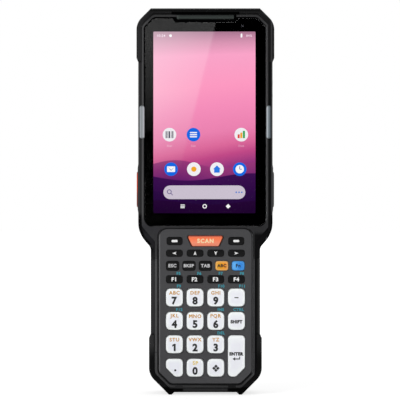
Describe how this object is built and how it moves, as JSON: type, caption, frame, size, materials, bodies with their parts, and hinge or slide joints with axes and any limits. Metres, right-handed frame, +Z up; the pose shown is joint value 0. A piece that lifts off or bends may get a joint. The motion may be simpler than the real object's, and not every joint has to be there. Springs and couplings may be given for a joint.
{
  "type": "portable barcode data terminal",
  "caption": "Rugged handheld barcode data terminal with a portrait touch screen, a keypad grip, side triggers, rubber corner bumpers and a lift-out battery pack.",
  "frame": {"origin": "middle of the footprint, on the plane of the two feet", "axes": "+Z up along the length, the screen and keys face -Y, +X to the keypad's right"},
  "size_m": [0.0786, 0.032, 0.2203],
  "materials": {
    "case_plastic": "fine spark texture",
    "bumper_rubber": "moulded, satin",
    "rail_rubber": "moulded, satin",
    "seal_rubber": "plain",
    "screw_steel": "blackened",
    "window_glass": "polished, black border",
    "screen_panel": "lit panel",
    "receiver_plastic": "satin",
    "camera_body": "satin",
    "guide_plastic": "frosted",
    "panel_plastic": "fine texture",
    "mat_rubber": "plain",
    "board_green": "solder mask",
    "frame_metal": "cast",
    "engine_metal": "anodised",
    "reader_glass": "polished, dark red",
    "speaker_plastic": "plain",
    "contact_brass": "plated",
    "trigger_black": "satin",
    "trigger_orange": "satin",
    "rocker_plastic": "satin",
    "battery_plastic": "fine spark texture",
    "cell_foil": "foil",
    "lock_plastic": "satin",
    "key_white": "satin",
    "key_dark": "satin",
    "key_orange": "satin",
    "key_amber": "satin",
    "key_blue": "satin"
  },
  "bodies": {
    "terminal": {"back_housing": "case_plastic", "bottom_bumper": "bumper_rubber", "display_module": "screen_panel", "dock_contacts": "contact_brass", "front_camera": "camera_body", "front_housing": "case_plastic", "grip_rail_left": "rail_rubber", "grip_rail_right": "rail_rubber", "housing_screws": "screw_steel", "housing_seal": "seal_rubber", "key_board": "board_green", "keypad_mat": "mat_rubber", "keypad_panel": "panel_plastic", "led_guides": "guide_plastic", "main_board": "board_green", "middle_frame": "frame_metal", "rear_camera": "camera_body", "receiver_cover": "receiver_plastic", "scan_engine": "engine_metal", "scan_window": "reader_glass", "speaker": "speaker_plastic", "top_bumper": "bumper_rubber", "touch_window": "window_glass"},
    "trigger_left": {"trigger_left": "trigger_orange"},
    "trigger_right": {"trigger_right": "trigger_black"},
    "volume_rocker": {"volume_rocker": "rocker_plastic"},
    "battery_pack": {"battery_case": "battery_plastic", "battery_cells": "cell_foil"},
    "battery_lock": {"battery_lock": "lock_plastic"},
    "key_0": {"key_0": "key_white"},
    "key_1": {"key_1": "key_white"},
    "key_2": {"key_2": "key_white"},
    "key_3": {"key_3": "key_white"},
    "key_4": {"key_4": "key_white"},
    "key_5": {"key_5": "key_white"},
    "key_6": {"key_6": "key_white"},
    "key_7": {"key_7": "key_white"},
    "key_8": {"key_8": "key_white"},
    "key_9": {"key_9": "key_white"},
    "key_alpha": {"key_alpha": "key_amber"},
    "key_arrow_down": {"key_arrow_down": "key_dark"},
    "key_arrow_left": {"key_arrow_left": "key_dark"},
    "key_arrow_right": {"key_arrow_right": "key_dark"},
    "key_arrow_up": {"key_arrow_up": "key_dark"},
    "key_backspace": {"key_backspace": "key_dark"},
    "key_enter": {"key_enter": "key_white"},
    "key_escape": {"key_escape": "key_dark"},
    "key_f1": {"key_f1": "key_dark"},
    "key_f2": {"key_f2": "key_dark"},
    "key_f3": {"key_f3": "key_dark"},
    "key_f4": {"key_f4": "key_dark"},
    "key_function": {"key_function": "key_blue"},
    "key_minus": {"key_minus": "key_white"},
    "key_point": {"key_point": "key_white"},
    "key_scan": {"key_scan": "key_orange"},
    "key_shift": {"key_shift": "key_white"},
    "key_soft_left": {"key_soft_left": "key_dark"},
    "key_soft_right": {"key_soft_right": "key_dark"},
    "key_symbol": {"key_symbol": "key_white"},
    "key_tab": {"key_tab": "key_dark"}
  },
  "joints": [
    {"name": "battery_lift", "type": "slide", "parent": "terminal", "child": "battery_pack", "axis": [0, 1, 0], "range_m": [0, 0.03]},
    {"name": "lock_slide", "type": "slide", "parent": "terminal", "child": "battery_lock", "axis": [0, 0, -1], "range_m": [0, 0.0022]},
    {"name": "trigger_left_press", "type": "slide", "parent": "terminal", "child": "trigger_left", "axis": [1, 0, 0], "range_m": [0, 0.0012], "stiffness_N_per_m": 2500},
    {"name": "trigger_right_press", "type": "slide", "parent": "terminal", "child": "trigger_right", "axis": [-1, 0, 0], "range_m": [0, 0.0012], "stiffness_N_per_m": 2500},
    {"name": "volume_rock", "type": "hinge", "parent": "terminal", "child": "volume_rocker", "pos_m": [0.0351, -0.0065, 0.17465], "axis": [0, 1, 0], "range_deg": [-2.5, 2.5], "stiffness_Nm_per_rad": 0.2},
    {"name": "key_0_press", "type": "slide", "parent": "terminal", "child": "key_0", "axis": [0, 1, 0], "range_m": [0, 0.0008], "stiffness_N_per_m": 2000},
    {"name": "key_1_press", "type": "slide", "parent": "terminal", "child": "key_1", "axis": [0, 1, 0], "range_m": [0, 0.0008], "stiffness_N_per_m": 2000},
    {"name": "key_2_press", "type": "slide", "parent": "terminal", "child": "key_2", "axis": [0, 1, 0], "range_m": [0, 0.0008], "stiffness_N_per_m": 2000},
    {"name": "key_3_press", "type": "slide", "parent": "terminal", "child": "key_3", "axis": [0, 1, 0], "range_m": [0, 0.0008], "stiffness_N_per_m": 2000},
    {"name": "key_4_press", "type": "slide", "parent": "terminal", "child": "key_4", "axis": [0, 1, 0], "range_m": [0, 0.0008], "stiffness_N_per_m": 2000},
    {"name": "key_5_press", "type": "slide", "parent": "terminal", "child": "key_5", "axis": [0, 1, 0], "range_m": [0, 0.0008], "stiffness_N_per_m": 2000},
    {"name": "key_6_press", "type": "slide", "parent": "terminal", "child": "key_6", "axis": [0, 1, 0], "range_m": [0, 0.0008], "stiffness_N_per_m": 2000},
    {"name": "key_7_press", "type": "slide", "parent": "terminal", "child": "key_7", "axis": [0, 1, 0], "range_m": [0, 0.0008], "stiffness_N_per_m": 2000},
    {"name": "key_8_press", "type": "slide", "parent": "terminal", "child": "key_8", "axis": [0, 1, 0], "range_m": [0, 0.0008], "stiffness_N_per_m": 2000},
    {"name": "key_9_press", "type": "slide", "parent": "terminal", "child": "key_9", "axis": [0, 1, 0], "range_m": [0, 0.0008], "stiffness_N_per_m": 2000},
    {"name": "key_alpha_press", "type": "slide", "parent": "terminal", "child": "key_alpha", "axis": [0, 1, 0], "range_m": [0, 0.0008], "stiffness_N_per_m": 2000},
    {"name": "key_arrow_down_press", "type": "slide", "parent": "terminal", "child": "key_arrow_down", "axis": [0, 1, 0], "range_m": [0, 0.0008], "stiffness_N_per_m": 2000},
    {"name": "key_arrow_left_press", "type": "slide", "parent": "terminal", "child": "key_arrow_left", "axis": [0, 1, 0], "range_m": [0, 0.0008], "stiffness_N_per_m": 2000},
    {"name": "key_arrow_right_press", "type": "slide", "parent": "terminal", "child": "key_arrow_right", "axis": [0, 1, 0], "range_m": [0, 0.0008], "stiffness_N_per_m": 2000},
    {"name": "key_arrow_up_press", "type": "slide", "parent": "terminal", "child": "key_arrow_up", "axis": [0, 1, 0], "range_m": [0, 0.0008], "stiffness_N_per_m": 2000},
    {"name": "key_backspace_press", "type": "slide", "parent": "terminal", "child": "key_backspace", "axis": [0, 1, 0], "range_m": [0, 0.0008], "stiffness_N_per_m": 2000},
    {"name": "key_enter_press", "type": "slide", "parent": "terminal", "child": "key_enter", "axis": [0, 1, 0], "range_m": [0, 0.0008], "stiffness_N_per_m": 2000},
    {"name": "key_escape_press", "type": "slide", "parent": "terminal", "child": "key_escape", "axis": [0, 1, 0], "range_m": [0, 0.0008], "stiffness_N_per_m": 2000},
    {"name": "key_f1_press", "type": "slide", "parent": "terminal", "child": "key_f1", "axis": [0, 1, 0], "range_m": [0, 0.0008], "stiffness_N_per_m": 2000},
    {"name": "key_f2_press", "type": "slide", "parent": "terminal", "child": "key_f2", "axis": [0, 1, 0], "range_m": [0, 0.0008], "stiffness_N_per_m": 2000},
    {"name": "key_f3_press", "type": "slide", "parent": "terminal", "child": "key_f3", "axis": [0, 1, 0], "range_m": [0, 0.0008], "stiffness_N_per_m": 2000},
    {"name": "key_f4_press", "type": "slide", "parent": "terminal", "child": "key_f4", "axis": [0, 1, 0], "range_m": [0, 0.0008], "stiffness_N_per_m": 2000},
    {"name": "key_function_press", "type": "slide", "parent": "terminal", "child": "key_function", "axis": [0, 1, 0], "range_m": [0, 0.0008], "stiffness_N_per_m": 2000},
    {"name": "key_minus_press", "type": "slide", "parent": "terminal", "child": "key_minus", "axis": [0, 1, 0], "range_m": [0, 0.0008], "stiffness_N_per_m": 2000},
    {"name": "key_point_press", "type": "slide", "parent": "terminal", "child": "key_point", "axis": [0, 1, 0], "range_m": [0, 0.0008], "stiffness_N_per_m": 2000},
    {"name": "key_scan_press", "type": "slide", "parent": "terminal", "child": "key_scan", "axis": [0, 1, 0], "range_m": [0, 0.0008], "stiffness_N_per_m": 2000},
    {"name": "key_shift_press", "type": "slide", "parent": "terminal", "child": "key_shift", "axis": [0, 1, 0], "range_m": [0, 0.0008], "stiffness_N_per_m": 2000},
    {"name": "key_soft_left_press", "type": "slide", "parent": "terminal", "child": "key_soft_left", "axis": [0, 1, 0], "range_m": [0, 0.0008], "stiffness_N_per_m": 2000},
    {"name": "key_soft_right_press", "type": "slide", "parent": "terminal", "child": "key_soft_right", "axis": [0, 1, 0], "range_m": [0, 0.0008], "stiffness_N_per_m": 2000},
    {"name": "key_symbol_press", "type": "slide", "parent": "terminal", "child": "key_symbol", "axis": [0, 1, 0], "range_m": [0, 0.0008], "stiffness_N_per_m": 2000},
    {"name": "key_tab_press", "type": "slide", "parent": "terminal", "child": "key_tab", "axis": [0, 1, 0], "range_m": [0, 0.0008], "stiffness_N_per_m": 2000}
  ]
}
